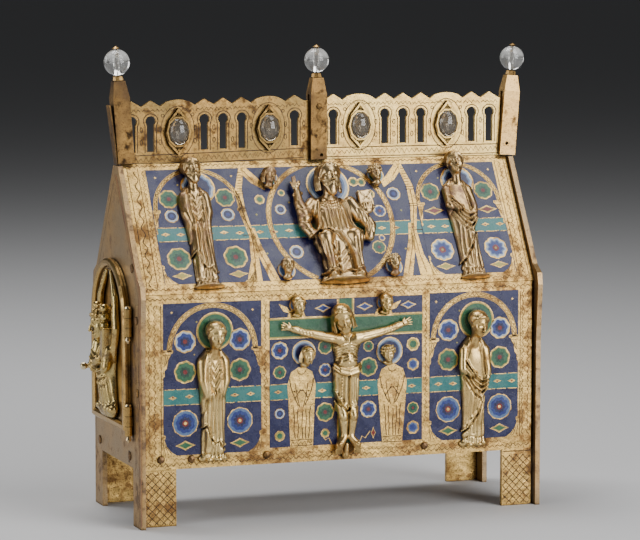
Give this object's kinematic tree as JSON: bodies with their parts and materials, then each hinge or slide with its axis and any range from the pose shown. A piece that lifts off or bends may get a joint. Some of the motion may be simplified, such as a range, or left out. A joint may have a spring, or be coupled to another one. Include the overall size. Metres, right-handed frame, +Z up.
{
  "type": "reliquary casket",
  "caption": "Gabled metal casket on short legs with a pierced ridge crest, bead-topped posts, applied relief figures, enamel fields and an arched hinged door in one end.",
  "frame": {"origin": "middle of the whole casket's underside, on the plane the feet stand on", "axes": "+X along the front to the right as one faces it, -Y is the front with the applied figures, +Z up; the door is in the -X end"},
  "size_m": [0.2784, 0.112, 0.2774],
  "materials": {
    "enamelled_copper": "champleve enamel in deep blue, turquoise and green, with gilt reserves",
    "gilt": "fire gilt, softly worn",
    "worn_gilt": "fire gilt, worn to brown",
    "dull_copper": "patinated copper with traces of gilding",
    "brown_copper": "brown oxidised copper",
    "rock_crystal": "polished, slightly cloudy"
  },
  "bodies": {
    "casket": {"front_plate": "enamelled_copper", "roof_front_plate": "enamelled_copper", "leg_front_left": "gilt", "crest_right": "gilt", "post_right": "gilt", "apostle_body_left": "gilt", "apostle_body_right": "gilt", "apostle_roof_left": "gilt", "apostle_roof_right": "gilt", "crucified_figure": "gilt", "mourner_head_left": "gilt", "mourner_head_right": "gilt", "witness_head_left": "gilt", "witness_head_right": "gilt", "finial_pin_left": "gilt", "finial_pin_centre": "gilt", "finial_pin_right": "gilt", "hinge_pin_upper": "gilt", "hinge_pin_lower": "gilt", "crest_left": "worn_gilt", "post_centre": "worn_gilt", "seated_figure": "worn_gilt", "roundel_head_upper_left": "worn_gilt", "roundel_head_upper_right": "worn_gilt", "roundel_head_lower_left": "worn_gilt", "roundel_head_lower_right": "worn_gilt", "cabochon_setting_1": "worn_gilt", "cabochon_setting_2": "worn_gilt", "cabochon_setting_3": "worn_gilt", "cabochon_setting_4": "worn_gilt", "hinge_knuckle_upper": "worn_gilt", "hinge_knuckle_lower": "worn_gilt", "back_plate": "dull_copper", "left_end_plate": "dull_copper", "right_end_plate": "dull_copper", "roof_back_plate": "dull_copper", "end_rivet_1": "dull_copper", "end_rivet_2": "dull_copper", "end_rivet_3": "dull_copper", "end_rivet_4": "dull_copper", "end_rivet_5": "dull_copper", "base_plate": "brown_copper", "post_left": "brown_copper", "front_nail_1": "brown_copper", "front_nail_2": "brown_copper", "front_nail_3": "brown_copper", "front_nail_4": "brown_copper", "crystal_left": "rock_crystal", "crystal_centre": "rock_crystal", "crystal_right": "rock_crystal", "cabochon_1": "rock_crystal", "cabochon_2": "rock_crystal", "cabochon_3": "rock_crystal", "cabochon_4": "rock_crystal"},
    "door": {"door": "worn_gilt", "latch_peg": "gilt", "door_figure": "worn_gilt"}
  },
  "joints": [
    {"name": "door_hinge", "type": "hinge", "parent": "casket", "child": "door", "pos_m": [-0.12175, -0.0296, 0.09], "axis": [0, 0, 1], "range_deg": [0, 110]}
  ]
}
